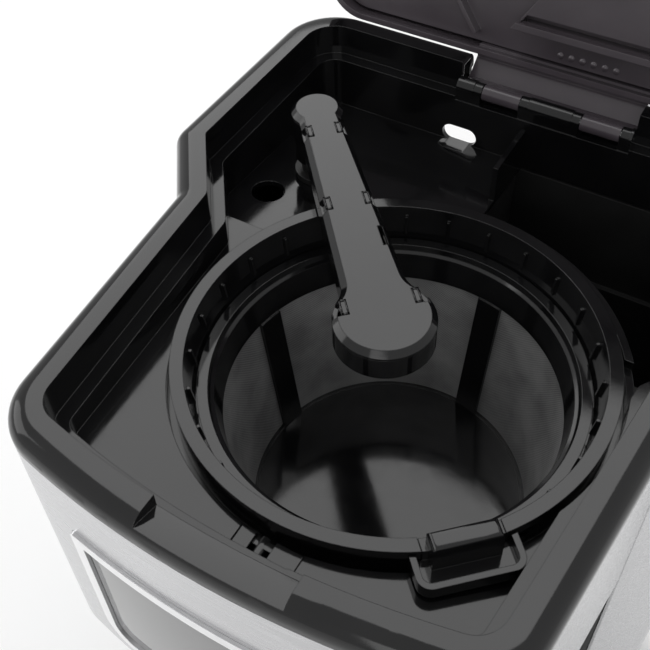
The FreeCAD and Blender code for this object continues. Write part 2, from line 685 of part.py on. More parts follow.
def arm_trough():
    """Open channel under the cover, with its hub and the spray holes."""
    shape = arm_block(0, 2, 10).cut(arm_block(1.6, 3.6, 11))
    shape = shape.fuse(Part.makeCylinder(8.6, 12, Vector(0, 0, -9)))
    shape = shape.cut(Part.makeCylinder(size("post_radius") + 0.08, 20, Vector(0, 0, -10)))
    holes = [Part.makeCylinder(1.4, 4, Vector(arm_length, 0, 0))]
    for index in range(6):
        angle = math.radians(60 * index)
        spot = Vector(arm_length + 8 * math.cos(angle), 8 * math.sin(angle), 0)
        holes.append(Part.makeCylinder(1.4, 4, spot))
    return shape.cut(holes)


def arm_cover():
    """Snap-on cover with a bevelled edge and a window over each clip."""
    shape = arm_block(0, 10.05, 12.6)
    shape = shape.makeChamfer(1.9, [e for e in shape.Edges if e.BoundBox.ZMin > 12.59])
    for along, across in CLIPS:
        for side in (-1, 1):
            shape = shape.cut(block(along - 3.2, along + 3.2, side * across - 1.1, side * across + 1.1, 9, 14))
    return shape.cut(block(66, 75, 6.6, 8.2, 9, 14))


feature("arm_trough", arm_trough(), arm_place)
feature("arm_cover", arm_cover(), arm_place)

# ---------------------------------------------------------------- brew basket and filter


def ring_of_ribs(radius_low, z_low, radius_high, z_high, thick, width, angles):
    """Upright ribs that follow a cone, `thick` towards the axis, placed round it at `angles`."""
    height = z_high - z_low
    outer = Part.makeCone(radius_low, radius_high, height, Vector(0, 0, z_low))
    inner = Part.makeCone(radius_low - thick, radius_high - thick, height, Vector(0, 0, z_low))
    shell = outer.cut(inner)
    ribs = []
    for angle in angles:
        slab = block(0, FAR, -width / 2, width / 2, z_low - 1, z_high + 1)
        slab.rotate(Vector(), Vector(0, 0, 1), angle)
        ribs.append(shell.common(slab))
    obj = doc.addObject("Part::Feature", "ribs")
    obj.Shape = Part.makeCompound(ribs)
    return place(obj, **on_flange)


basket_body = turned_body(
    "basket_shell",
    [("Sizes.flange_inner", "0"), ("Sizes.flange_outer", "0"), ("Sizes.flange_outer", "-11.6"),
     ("Sizes.flange_outer - 1.5", "-11.6"), ("Sizes.flange_outer - 1.5", "-2.4"),
     ("Sizes.flange_inner + 1.8", "-2.4"), ("Sizes.flange_inner + 0.6", "-16"),
     ("Sizes.basket_foot + 4.4", "-19"), ("Sizes.basket_foot + 1.8", "-Sizes.basket_depth + 4"),
     ("Sizes.basket_foot - 2", "-Sizes.basket_depth"), ("9", "-Sizes.basket_depth - 2.4"),
     ("9", "-Sizes.basket_depth - 8"), ("5", "-Sizes.basket_depth - 8"), ("5", "-Sizes.basket_depth"),
     ("Sizes.basket_foot - 2.5", "-Sizes.basket_depth + 2.4"), ("Sizes.basket_foot", "-Sizes.basket_depth + 5"),
     ("Sizes.basket_foot + 2.4", "-Sizes.filter_drop - 1.6"), ("61.7", "-Sizes.filter_drop - 1.6")],
    **on_flange)
ticks = ring_of_ribs(62.9, -10.5, 63.9, -3.5, 1.6, 1.0, [7 + 360 / 27 * i for i in range(27)])
grip_gap = box("grip_gap", "Sizes.brew_x", "Sizes.brew_y", "Sizes.flange_plane - 6.2", 80, 23, 20)
basket_cut = cut("basket_gap", fused("basket_ribbed", [basket_body, ticks]), grip_gap)
grip_turn = -46.5
grip_place = Placement(Vector(brew.x, brew.y, ledge), Rotation(Vector(0, 0, 1), grip_turn))
for name in ("x", "y", "z"):
    grip_gap.setExpression(f"Placement.Base.{name}", None)
grip_gap.Placement = grip_place.multiply(Placement(Vector(0, -11.5, -6.2), Rotation()))
keep(basket_cut, "brew_basket")


def basket_grip():
    """Grip set into the flange: a raised block with a thin-walled finger pocket round it."""
    flange = Part.makeCylinder(size("flange_outer"), 6).cut(Part.makeCylinder(size("flange_inner") + 0.2, 6))
    seat = flange.common(block(40, FAR, -11.3, 11.3, -1, FAR))
    seat.translate(Vector(0, 0, -6))
    raised = block(64.4, 70.5, -9.6, 9.6, -6, 5.4)
    raised = raised.makeFillet(1.8, [e for e in raised.Edges if e.BoundBox.ZMin > 5.3])
    pocket = block(66.5, 77.2, -14.8, 14.8, -6.0, -1.4)
    pocket = pocket.makeFillet(4.0, [e for e in pocket.Edges if e.BoundBox.ZLength > 4 and e.BoundBox.XMin > 77])
    hollow = block(60, 75.4, -13.0, 13.0, -4.4, 0)
    hollow = hollow.makeFillet(2.4, [e for e in hollow.Edges if e.BoundBox.ZLength > 4 and e.BoundBox.XMin > 75])
    inside = Part.makeCylinder(size("flange_outer") + 0.15, 30, Vector(0, 0, -20))
    pocket = pocket.cut(hollow).cut(inside.cut(block(0, FAR, -11.3, 11.3, -30, 30)))
    return seat.fuse([raised, pocket]).removeSplitter()


feature("basket_grip", basket_grip(), grip_place)

rim_low = "-Sizes.filter_drop"
frame_ring = turned_body(
    "filter_rim_ring",
    [("Sizes.filter_rim", rim_low), ("61.2", rim_low), ("61.2", "-Sizes.filter_drop - 1.4"),
     ("Sizes.filter_rim - 0.2", "-Sizes.filter_drop - 1.4"), ("Sizes.mesh_top_radius + 1.9", "-Sizes.mesh_high"),
     ("Sizes.mesh_top_radius + 0.3", "-Sizes.mesh_high"), ("Sizes.filter_rim - 1.8", "-Sizes.filter_drop - 2.6"),
     ("Sizes.filter_rim - 0.6", "-Sizes.filter_drop - 2.0")],
    **on_flange)
frame_disc = turned_body(
    "filter_disc",
    [("0", "-Sizes.mesh_low - 0.4"), ("Sizes.mesh_foot_radius", "-Sizes.mesh_low - 0.4"),
     ("Sizes.mesh_foot_radius", "-Sizes.mesh_low"), ("Sizes.mesh_foot_radius + 2.2", "-Sizes.mesh_low"),
     ("Sizes.mesh_foot_radius + 2.2", "-Sizes.mesh_low - 2.6"), ("0", "-Sizes.mesh_low - 2.6")],
    **on_flange)
RIB_ANGLES = [size("rib_azimuth") + 90 * index for index in range(4)]
frame_ribs = ring_of_ribs(size("mesh_foot_radius") + 1.2, -size("mesh_low"), size("mesh_top_radius") + 1.2,
                          -size("mesh_high"), 1.6, 9.0, RIB_ANGLES)
keep(fused("filter_frame", [frame_ring, frame_disc, frame_ribs]), "filter_frame")
turned(
    "filter_mesh",
    [("Sizes.mesh_foot_radius + 1.3", "-Sizes.mesh_low + 0.05"), ("Sizes.mesh_foot_radius + 1.8", "-Sizes.mesh_low + 0.05"),
     ("Sizes.mesh_top_radius + 1.75", "-Sizes.mesh_high - 0.05"), ("Sizes.mesh_top_radius + 1.3", "-Sizes.mesh_high - 0.05")],
    **on_flange)

valve = {"x": "Sizes.brew_x", "y": "Sizes.brew_y", "z": "Sizes.flange_plane - Sizes.basket_depth"}
turned(
    "drip_valve",
    [("0", "2.2"), ("7.6", "2.2"), ("7.6", "0.9"), ("4.2", "0.9"), ("4.2", "-13.5"), ("7.6", "-13.5"),
     ("7.6", "-15.5"), ("0", "-15.5")],
    **valve)
turned("valve_seal", [("5.2", "0.05"), ("7.4", "0.15"), ("7.4", "0.85"), ("5.2", "0.85")], **valve)


def drip_spring():
    """Return spring between the basket's outlet and the valve's foot."""
    wire_radius, coil_radius, pitch, turns, steps = 0.4, 5.8, 2.1, 2, 48
    curve = Part.BSplineCurve()
    angles = [2 * math.pi * turns * step / steps for step in range(steps + 1)]
    curve.interpolate([Vector(coil_radius * math.cos(a), coil_radius * math.sin(a), pitch * a / (2 * math.pi))
                       for a in angles])
    coil = curve.toShape()
    section = Part.makeCircle(wire_radius, Vector(coil_radius, 0, 0), coil.tangentAt(coil.FirstParameter))
    return Part.Wire(coil).makePipeShell([Part.Wire(section)], True, True)


feature("drip_spring", drip_spring(), Placement(Vector(brew.x, brew.y, ledge - 88 - 12.9), Rotation()))

# ---------------------------------------------------------------- lid, drawn closed and stored open

hinge = Vector(0, size("hinge_y"), rim_top - size("hinge_drop"))
opened = Placement(Vector(), Rotation(Vector(1, 0, 0), -size("lid_open")), hinge)
lid_low = rim_top + gap
lid_top = lid_low + size("lid_thick")
lid_back = size("lid_back")
BARRELS = ((-24.1, -9.1), (14.9, 29.9))
ARM_SWEEP_BACK = 78.0


def lid_region(inset, low, high):
    """The lid's outline, pulled in by `inset`."""
    outset = size("shoulder") - 1.2
    face = plan_face(outset + inset, lid_back + outset, 18 + outset, jog_corner=14.5)
    return lifted(face.extrude(Vector(0, 0, high - low)), low)


def lid_shell():
    """Domed lid skin with its front tongue and the hinge leaf at the back."""
    solid = lid_region(0, lid_low, lid_top)
    solid = solid.makeFillet(7.0, [e for e in solid.Edges if e.BoundBox.ZMin > lid_top - 0.01])
    solid = solid.cut(lid_region(2.2, lid_low - 1, lid_top - 2.4))
    tongue = strip_x(
        [(-109.6, lid_low + 2), (-107.4, lid_low + 2), (-107.4, ledge + 9.6), (-109.6, ledge + 10.4)], -20, 20)
    solid = solid.fuse(tongue)
    half = size("hinge_half") - 0.6
    y, z = hinge.y, hinge.z
    leaf = strip_x([(lid_back - 3, lid_low + 3), (lid_back - 3, lid_top - 4), (lid_back + 3, lid_top - 5),
                    (y + 2.4, z + 10), (y + 2.4, z + 4.2), (y - 1.5, z + 4.2), (y - 1.5, z + 8),
                    (lid_back + 2, lid_low + 3)], -half, half)
    solid = solid.fuse(leaf)
    for x0, x1 in BARRELS:
        barrel = Part.makeCylinder(3.0, x1 - x0, Vector(x0, y, z), Vector(1, 0, 0))
        web = block(x0, x1, y - 1.5, y + 2.4, z, z + 5)
        solid = solid.fuse([barrel, web])
        solid = solid.cut(Part.makeCylinder(size("pin_radius") + 0.05, x1 - x0 + 2, Vector(x0 - 1, y, z), Vector(1, 0, 0)))
    return solid.removeSplitter()


def lid_liner():
    """Inner panel with its stiffening ribs and the raised cover over the water tank."""
    low = lid_low + 5.2
    panel = lid_region(3.4, low, low + 1.8)
    # the wall is deep only behind the swung arm, so that the lid closes over the arm anywhere
    raised = block(-29, FAR, 42, lid_back - 1, lid_low + 0.7, low + 0.5)
    raised = raised.fuse(block(-29, FAR, ARM_SWEEP_BACK, lid_back - 1, lid_low - 5, low + 0.5))
    slope = block(-FAR, 0, -FAR, FAR, 0, FAR * 2)
    slope.rotate(Vector(), Vector(0, 0, 1), 31)
    slope.translate(Vector(-29, lid_back - 1, 0))
    inner_region = lid_region(14.5, lid_low - 6, low + 1)
    raised = raised.cut(slope).common(inner_region)
    hollow = raised.copy()
    hollow.translate(Vector(2.2, -2.0, 2.2))
    raised = raised.cut(hollow.common(raised))
    panel = panel.fuse(raised)
    for (x0, y0), (x1, y1) in RIB_LINES:
        length = math.hypot(x1 - x0, y1 - y0)
        rib = block(0, length, -0.8, 0.8, lid_low + 0.6, low + 0.4)
        rib.rotate(Vector(), Vector(0, 0, 1), math.degrees(math.atan2(y1 - y0, x1 - x0)))
        rib.translate(Vector(x0, y0, 0))
        panel = panel.fuse(rib)
    return panel.removeSplitter()


RIB_LINES = (((-36, 88), (-54, 66)), ((-54, 66), (-76, 40)), ((-76, 40), (-76, -30)), ((36, 30), (76, -20)),
             ((-40, -60), (40, -60)), ((-40, -60), (-76, -30)), ((40, -60), (76, -20)))
feature("lid_shell", lid_shell(), opened)
feature("lid_liner", lid_liner(), opened)

pins = []
for index, (x0, x1) in enumerate(BARRELS):
    pin = doc.addObject("Part::Cylinder", f"pin_{index}")
    bind(pin, Radius="Sizes.pin_radius", Height=str(x1 - x0 + 6.0))
    pin.Placement = Placement(Vector(x0 - 3.0, hinge.y, hinge.z), Rotation(Vector(0, 1, 0), 90))
    pins.append(pin)
keep(fused("hinge_pins", pins), "hinge_pins")

# ---------------------------------------------------------------- display


def front_plate(outline, outer, inner):
    """A plate that follows the bowed front, between two depths from the steel face."""
    bowed = body_prism(outer, 200, FAR + 20).cut(body_prism(inner, 199, FAR + 21))
    return bowed.common(outline)


def button_front(x):
    """Where a button's cap starts, a little proud of the bowed glass."""
    return -size("front_reach") - 0.9 + x * x / (2 * size("front_radius"))


button_z = size("window_low") + 12
BUTTONS = ("hour_button", "minute_button", "program_button", "power_button")
button_xs = [-2 + size("button_pitch") * index for index in range(len(BUTTONS))]
bezel = size("bezel_width")
frame_outline = window_frame(0, -FAR, 0).cut(window_frame(-bezel, -FAR, 0))
feature("display_bezel", front_plate(frame_outline, -1.2, 2.6))
glass = front_plate(window_frame(-bezel - 0.15, -FAR, 0), 0.2, 2.8)
for x in button_xs:
    glass = glass.cut(Part.makeCylinder(size("button_radius") + 0.25, 40, Vector(x, -130, button_z), Vector(0, 1, 0)))
feature("display_glass", glass)
for label, x in zip(BUTTONS, button_xs):
    cap = doc.addObject("Part::Cylinder", label)
    bind(cap, Radius="Sizes.button_radius", Height="4.6")
    cap.Placement = Placement(Vector(x, button_front(x), button_z),
                              Rotation(Vector(1, 0, 0), -90))
    keep(cap, label)
keep(box("lcd_module", -30, -109.8, 258, 60, 4, 28), "lcd_module")
keep(box("control_board", -48, -103.5, 232, 96, 1.6, 62), "control_board")
keep(box("power_board", -70, 84, 120, 46, 1.6, 70), "power_board")

# ---------------------------------------------------------------- carafe

on_plate = {"x": "Sizes.brew_x", "y": "Sizes.brew_y", "z": "Sizes.carafe_low"}
BULGE = (("46", "0"), ("56", "4"), ("Sizes.carafe_radius - 2", "20"), ("Sizes.carafe_radius", "42"),
         ("Sizes.carafe_radius - 2", "64"), ("Sizes.carafe_radius - 9", "92"), ("Sizes.carafe_neck + 3", "116"),
         ("Sizes.carafe_neck", "128"), ("Sizes.carafe_neck + 2", "Sizes.carafe_height"))
inner_wall = [(f"{r} - 2.4", f"{z} + 2.4" if index < 2 else z) for index, (r, z) in enumerate(BULGE)]
turned("carafe_glass", [("0", "0")] + list(BULGE) + inner_wall[::-1] + [("0", "2.4")], **on_plate)
turned("carafe_band",
       [("Sizes.carafe_neck + 1.2", "125"), ("Sizes.carafe_neck + 2.8", "125"), ("Sizes.carafe_neck + 2.8", "137"),
        ("Sizes.carafe_neck + 1.2", "137")],
       **on_plate)


def carafe_handle():
    """Open handle that runs from the band down to the belly."""
    x, y, z = brew.x, brew.y - size("carafe_neck"), size("carafe_low")
    outer = strip_x([(y - 3.2, z + 135), (y - 3.2, z + 121), (y - 26, z + 118), (y - 38, z + 100), (y - 40, z + 60),
                     (y - 33, z + 36), (y - 40, z + 32), (y - 50, z + 56), (y - 51, z + 108), (y - 44, z + 128),
                     (y - 30, z + 136)], x - 10, x + 10)
    edges = [e for e in outer.Edges if e.BoundBox.XLength < 0.01 and e.BoundBox.YMax < y - 4]
    return outer.makeFillet(3.0, edges)


feature("carafe_handle", carafe_handle())
turned(
    "carafe_lid",
    [("Sizes.carafe_neck - 2.9", "138"), ("Sizes.carafe_neck - 2.9", "146.3"), ("Sizes.carafe_neck + 2.6", "146.3"),
     ("Sizes.carafe_neck + 2.6", "149"), ("Sizes.carafe_neck - 4", "153.5"), ("16", "155"), ("12", "151"),
     ("5", "150"), ("5", "148.2"), ("12", "148.2"), ("Sizes.carafe_neck - 4.9", "148.2"),
     ("Sizes.carafe_neck - 4.9", "138")],
    **on_plate)

# ---------------------------------------------------------------- inlet

gland = doc.addObject("PartDesign::Body", "cord_gland")
gland_sketch = corner_sketch(
    gland, "XZ_Plane",
    [("3.6", "0"), ("11", "0"), ("11", "2.5"), ("7.8", "2.5"), ("7.8", "6"), ("5.6", "12"), ("3.6", "12")])
gland_spin = gland.newObject("PartDesign::Revolution", "cord_gland_turned")
gland_spin.Profile = gland_sketch
gland_spin.ReferenceAxis = (gland_sketch, ["V_Axis"])
gland_spin.Angle = 360
gland.Tip = gland_spin
gland.Placement = Placement(Vector(-62, size("body_back") - 2.2 - 2.6, 26), Rotation(Vector(1, 0, 0), -90))
keep(gland, "cord_gland")

# ---------------------------------------------------------------- check and write

doc.recompute()
for obj in doc.Objects:
    if any(word in obj.State for word in ("Invalid", "Error")):
        raise RuntimeError(f"{obj.Name} failed: {obj.State}")
os.makedirs("parts", exist_ok=True)
for obj in PARTS:
    shape = obj.Shape
    if shape.isNull() or not shape.isValid() or not shape.Solids:
        raise RuntimeError(f"{obj.Label} has no valid shape")
    shape.exportStep(f"parts/{obj.Label}.step")
    print(f"{obj.Label:20s} solids {len(shape.Solids)}  volume {shape.Volume / 1000:9.2f} cm3")
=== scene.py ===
"""Drip coffee maker with its lid open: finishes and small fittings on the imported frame."""

import json
import logging
import math
from dataclasses import dataclass, field
from enum import Enum
from typing import Optional

import bmesh
import bpy
from mathutils import Matrix, Vector

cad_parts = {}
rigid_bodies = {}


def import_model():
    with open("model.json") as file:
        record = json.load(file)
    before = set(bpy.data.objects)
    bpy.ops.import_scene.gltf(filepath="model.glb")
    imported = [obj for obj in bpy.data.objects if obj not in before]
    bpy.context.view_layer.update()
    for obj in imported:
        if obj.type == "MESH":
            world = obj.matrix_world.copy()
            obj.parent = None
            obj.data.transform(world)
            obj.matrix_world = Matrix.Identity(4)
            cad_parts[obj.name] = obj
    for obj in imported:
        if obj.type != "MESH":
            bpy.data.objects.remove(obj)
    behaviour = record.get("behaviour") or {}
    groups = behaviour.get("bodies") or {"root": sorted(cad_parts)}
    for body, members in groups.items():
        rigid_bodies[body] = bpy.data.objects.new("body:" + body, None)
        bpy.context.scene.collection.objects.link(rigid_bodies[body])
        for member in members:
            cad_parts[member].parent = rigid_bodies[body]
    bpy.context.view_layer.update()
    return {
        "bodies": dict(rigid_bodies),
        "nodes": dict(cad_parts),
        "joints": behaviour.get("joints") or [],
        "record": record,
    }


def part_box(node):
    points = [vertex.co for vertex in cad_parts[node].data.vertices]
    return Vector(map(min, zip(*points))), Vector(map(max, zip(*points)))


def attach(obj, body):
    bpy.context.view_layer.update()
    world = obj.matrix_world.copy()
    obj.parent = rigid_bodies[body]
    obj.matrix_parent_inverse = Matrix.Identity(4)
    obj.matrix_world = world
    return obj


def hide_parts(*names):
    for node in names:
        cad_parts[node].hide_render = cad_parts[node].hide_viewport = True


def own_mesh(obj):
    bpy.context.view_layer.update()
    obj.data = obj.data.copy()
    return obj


log = logging.getLogger("coffee_maker")
MM = 0.001
BOSS_TAPER = 0.92
RAMP_STOPS = (0.3, 0.7)
BEVEL_SAMPLES = 4


class Grain(Enum):
    """Direction that a brushed finish runs in."""

    ALONG_X = (6.0, 900.0, 900.0)
    ALONG_Z = (900.0, 900.0, 6.0)


# ------------------------------------------------------------------ finishes


class Graph:
    """One node material and short calls to fill it."""

    def __init__(self, name: str) -> None:
        """Starts an empty material.

        Args:
            name: Name of the material.
        """
        self.material = bpy.data.materials.new(name)
        self.material.use_nodes = True
        self.tree = self.material.node_tree
        self.tree.nodes.clear()
        self.output = self.tree.nodes.new("ShaderNodeOutputMaterial")
        self.shader = self.node("ShaderNodeBsdfPrincipled")
        self.link(self.shader.outputs["BSDF"], self.output.inputs["Surface"])
        self.place = self.node("ShaderNodeTexCoord").outputs["Object"]

    def node(self, kind: str, **values: object) -> bpy.types.Node:
        """Adds a node and sets the sockets or properties named in `values`."""
        made = self.tree.nodes.new(kind)
        for key, value in values.items():
            title = key.replace("_", " ").title()
            if hasattr(made, key):
                setattr(made, key, value)
            else:
                made.inputs[title].default_value = value
        return made

    def link(self, source: bpy.types.NodeSocket, target: bpy.types.NodeSocket) -> None:
        """Joins two sockets."""
        self.tree.links.new(source, target)

    def set(self, **values: object) -> None:
        """Sets constants on the shader's own sockets."""
        for key, value in values.items():
            self.shader.inputs[key.replace("_", " ")].default_value = value

    def noise(self, scale: float, detail: float = 3.0,
              stretch: Optional[tuple] = None) -> bpy.types.NodeSocket:
        """Noise in object space.

        Args:
            scale: Cells per metre.
            detail: Octaves.
            stretch: Scale of each axis, in place of an even one.

        Returns:
            The noise value's socket.
        """
        made = self.node("ShaderNodeTexNoise", scale=1.0 if stretch else scale, detail=detail)
        source = self.place
        if stretch:
            mapping = self.node("ShaderNodeMapping", scale=stretch)
            self.link(self.place, mapping.inputs["Vector"])
            source = mapping.outputs["Vector"]
        self.link(source, made.inputs["Vector"])
        return made.outputs["Fac"]

    def spread(self, value: bpy.types.NodeSocket, low: float, high: float,
               start: float = RAMP_STOPS[0], end: float = RAMP_STOPS[1]) -> bpy.types.NodeSocket:
        """Maps a value from `start`..`end` onto `low`..`high`.

        Args:
            value: The socket to map, usually a noise.
            low: What `start` becomes.
            high: What `end` becomes.
            start: Lower end of the value's own range.
            end: Upper end of it.

        Returns:
            The mapped value's socket.
        """
        made = self.node("ShaderNodeMapRange")
        limits = {"From Min": start, "From Max": end, "To Min": low, "To Max": high}
        for title, limit in limits.items():
            made.inputs[title].default_value = limit
        self.link(value, made.inputs["Value"])
        return made.outputs["Result"]

    def tint(self, value: bpy.types.NodeSocket, dark: tuple, light: tuple) -> None:
        """Colours the surface between two tones by a value."""
        ramp = self.node("ShaderNodeValToRGB")
        for stop, place, tone in zip(ramp.color_ramp.elements, RAMP_STOPS, (dark, light)):
            stop.position = place
            stop.color = (*tone, 1)
        self.link(value, ramp.inputs["Fac"])
        self.link(ramp.outputs["Color"], self.shader.inputs["Base Color"])

    def bump(self, height: bpy.types.NodeSocket, strength: float, distance: float,
             edge: float = 0.0) -> None:
        """Relief from a height, over softened edges where `edge` is above zero."""
        made = self.node("ShaderNodeBump", strength=strength, distance=distance)
        self.link(height, made.inputs["Height"])
        if edge > 0:
            softened = self.node("ShaderNodeBevel", samples=BEVEL_SAMPLES, radius=edge)
            self.link(softened.outputs["Normal"], made.inputs["Normal"])
        self.link(made.outputs["Normal"], self.shader.inputs["Normal"])


@dataclass(frozen=True)
class Moulded:
    """Injection-moulded plastic or rubber with a faint flow and handling marks."""

    name: str
    dark: tuple
    light: tuple
    roughness: float
    spread: float = 0.05
    peel: float = 0.03
    edge: float = 0.0004
    coat: float = 0.0

    def build(self) -> bpy.types.Material:
        """Makes the material."""
        graph = Graph(self.name)
        flow = graph.noise(38.0, 4.0)
        graph.tint(flow, self.dark, self.light)
        wear = graph.noise(140.0, 6.0)
        gloss = graph.spread(wear, self.roughness, self.roughness + self.spread)
        graph.link(gloss, graph.shader.inputs["Roughness"])
        graph.bump(graph.noise(900.0, 2.0), self.peel, 0.0001, self.edge)
        graph.set(IOR=1.5, Coat_Weight=self.coat, Coat_Roughness=0.03)
        return graph.material


@dataclass(frozen=True)
class Metal:
    """Bare metal; `grain` gives it brushed lines."""

    name: str
    dark: tuple
    light: tuple
    roughness: float
    grain: Optional[Grain] = None
    relief: float = 0.05
    spread: float = 0.08

    def build(self) -> bpy.types.Material:
        """Makes the material."""
        graph = Graph(self.name)
        lines = graph.noise(260.0, 3.0, self.grain.value if self.grain else None)
        graph.tint(lines, self.dark, self.light)
        gloss = graph.spread(lines, self.roughness, self.roughness + self.spread)
        graph.link(gloss, graph.shader.inputs["Roughness"])
        graph.bump(lines, self.relief, 0.00005, 0.0003)
        graph.set(Metallic=1.0)
        return graph.material


@dataclass(frozen=True)
class Weave:
    """Fine wire cloth round an upright axis."""

    name: str
    centre: tuple
    wires: float = 420.0
    rows: float = 6500.0
    dark: tuple = (0.15, 0.15, 0.15)
    light: tuple = (0.52, 0.52, 0.52)

    def build(self) -> bpy.types.Material:
        """Makes the material."""
        graph = Graph(self.name)
        moved = graph.node("ShaderNodeMapping")
        moved.inputs["Location"].default_value = (-self.centre[0], -self.centre[1], 0)
        graph.link(graph.place, moved.inputs["Vector"])
        parts = graph.node("ShaderNodeSeparateXYZ")
        graph.link(moved.outputs["Vector"], parts.inputs["Vector"])
        angle = self.maths(graph, "ARCTAN2", parts.outputs["Y"], parts.outputs["X"])
        warp = self.maths(graph, "SINE", self.maths(graph, "MULTIPLY", angle, self.wires))
        level = self.maths(graph, "MULTIPLY", parts.outputs["Z"], self.rows)
        weft = self.maths(graph, "SINE", level)
        cloth = self.maths(graph, "MULTIPLY", warp, weft)
        stain = graph.noise(60.0, 4.0)
        mixed = self.maths(graph, "ADD", graph.spread(cloth, 0.2, 0.6, -1, 1),
                           graph.spread(stain, 0.0, 0.25))
        graph.tint(mixed, self.dark, self.light)
        graph.bump(cloth, 0.35, 0.0001)
        graph.set(Metallic=0.6, Roughness=0.48)
        return graph.material

    @staticmethod
    def maths(graph: Graph, operation: str, first: bpy.types.NodeSocket,
              second: "bpy.types.NodeSocket | float | None" = None) -> bpy.types.NodeSocket:
        """One sum on sockets or numbers."""
        made = graph.node("ShaderNodeMath", operation=operation)
        graph.link(first, made.inputs[0])
        if isinstance(second, (int, float)):
            made.inputs[1].default_value = second
        elif second is not None:
            graph.link(second, made.inputs[1])
        return made.outputs["Value"]


@dataclass(frozen=True)
class Clear:
    """Blown glass with slight waves."""

    name: str

    def build(self) -> bpy.types.Material:
        """Makes the material."""
        graph = Graph(self.name)
        graph.bump(graph.noise(30.0, 2.0), 0.05, 0.0005)
        film = graph.noise(80.0, 5.0)
        graph.link(graph.spread(film, 0.0, 0.05), graph.shader.inputs["Roughness"])
        graph.set(Base_Color=(0.95, 0.98, 0.97, 1), IOR=1.47, Transmission_Weight=1.0)
        return graph.material


def finish_list(brew: Vector) -> dict[str, object]:
    """Every finish by the record's slot name.

    Args:
        brew: Point on the brew axis.

    Returns:
        The finishes.
    """
    return {
        "black_gloss": Moulded("black gloss", (0.003, 0.003, 0.0033), (0.006, 0.006, 0.0065), 0.07),
        "black_satin": Moulded("black satin", (0.010, 0.010, 0.010), (0.018, 0.018, 0.018), 0.38,
                               0.12, 0.15),
        "lid_gloss": Moulded("lid gloss", (0.050, 0.042, 0.049), (0.068, 0.058, 0.066), 0.16, 0.06),
        "steel_panel": Metal("brushed panel", (0.55, 0.55, 0.56), (0.64, 0.64, 0.65), 0.22,
                             Grain.ALONG_X, 0.02),
        "bright_trim": Metal("bright trim", (0.82, 0.82, 0.83), (0.90, 0.90, 0.91), 0.06),
        "dark_window": Moulded("tinted window", (0.018, 0.018, 0.020), (0.026, 0.026, 0.028), 0.05,
                               coat=0.6),
        "steel_mesh": Weave("wire cloth", (brew.x, brew.y)),
        "rubber": Moulded("rubber", (0.012, 0.012, 0.012), (0.022, 0.022, 0.022), 0.7, 0.15, 0.3),
        "silicone": Moulded("silicone", (0.62, 0.61, 0.58), (0.72, 0.71, 0.68), 0.45, 0.1, 0.08),
        "cast_aluminium": Metal("cast aluminium", (0.42, 0.42, 0.43), (0.60, 0.60, 0.61), 0.42,
                                relief=0.4),
        "coated_plate": Moulded("coated plate", (0.012, 0.012, 0.013), (0.022, 0.022, 0.023), 0.32,
                                0.1, 0.25),
        "clear_glass": Clear("carafe glass"),
        "plated_steel": Metal("plated steel", (0.55, 0.55, 0.56), (0.68, 0.68, 0.69), 0.2),
        "board": Moulded("circuit board", (0.01, 0.09, 0.03), (0.02, 0.15, 0.05), 0.35),
        "display": Moulded("display cell", (0.08, 0.10, 0.09), (0.11, 0.13, 0.12), 0.15),
    }


# ------------------------------------------------------------------ assemblies


@dataclass
class Assembly:
    """A sub-assembly: dresses its CAD nodes and adds its small fittings."""

    frame: dict
    finishes: dict[str, bpy.types.Material]
    nodes: tuple[str, ...] = ()
    smooth_angle: float = math.radians(32)
    weld: float = 0.005 * MM
    made: list[bpy.types.Object] = field(default_factory=list)

    def body(self, node: str) -> str:
        """The body that a node belongs to."""
        bodies = self.frame["record"]["behaviour"]["bodies"]
        return next(body for body, names in bodies.items() if node in names)

    def slot(self, node: str) -> str:
        """The record's material slot of a node."""
        subparts = self.frame["record"]["subparts"]
        return next(part["material_slot"] for part in subparts if part["node"] == node)

    def joint(self, name: str) -> dict:
        """A joint of the frame by its name."""
        return next(joint for joint in self.frame["joints"] if joint["name"] == name)

    def dress(self) -> None:
        """Replaces each node by a copy of itself with joined, smooth faces and its finish."""
        for node in self.nodes:
            mesh = bmesh.new()
            mesh.from_mesh(self.frame["nodes"][node].data)
            bmesh.ops.remove_doubles(mesh, verts=mesh.verts, dist=self.weld)
            for edge in mesh.edges:
                shared = len(edge.link_faces) == 2
                edge.smooth = shared and edge.calc_face_angle(0.0) < self.smooth_angle
            piece = self.add(f"{node}_skin", mesh, self.slot(node), self.body(node))
            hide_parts(node)

    def add(self, name: str, mesh: bmesh.types.BMesh, slot: str, body: str) -> bpy.types.Object:
        """Turns a bmesh into a piece that rides on a body.

        Args:
            name: Name of the piece.
            mesh: Its shape, in place; it is freed.
            slot: The material slot it takes its finish from.
            body: The body it moves with.

        Returns:
            The piece.
        """
        for face in mesh.faces:
            face.smooth = True
        data = bpy.data.meshes.new(name)
        mesh.to_mesh(data)
        mesh.free()
        data.materials.append(self.finishes[slot])
        piece = bpy.data.objects.new(name, data)
        bpy.context.scene.collection.objects.link(piece)
        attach(piece, body)
        self.made.append(piece)
        return piece

    def fittings(self) -> None:
        """Adds the small pieces that the frame leaves plain."""

    def build(self) -> list[bpy.types.Object]:
        """Dresses the nodes, adds the fittings and returns the pieces."""
        self.dress()
        self.fittings()
        return self.made


def disc(mesh: bmesh.types.BMesh, place: Matrix, radius: float, height: float,
         segments: int = 24) -> None:
    """Adds a short round boss with its foot at `place`, along its Z."""
    bmesh.ops.create_cone(mesh, cap_ends=True, segments=segments, radius1=radius,
                          radius2=radius * BOSS_TAPER, depth=height,
                          matrix=place @ Matrix.Translation((0, 0, height / 2)))


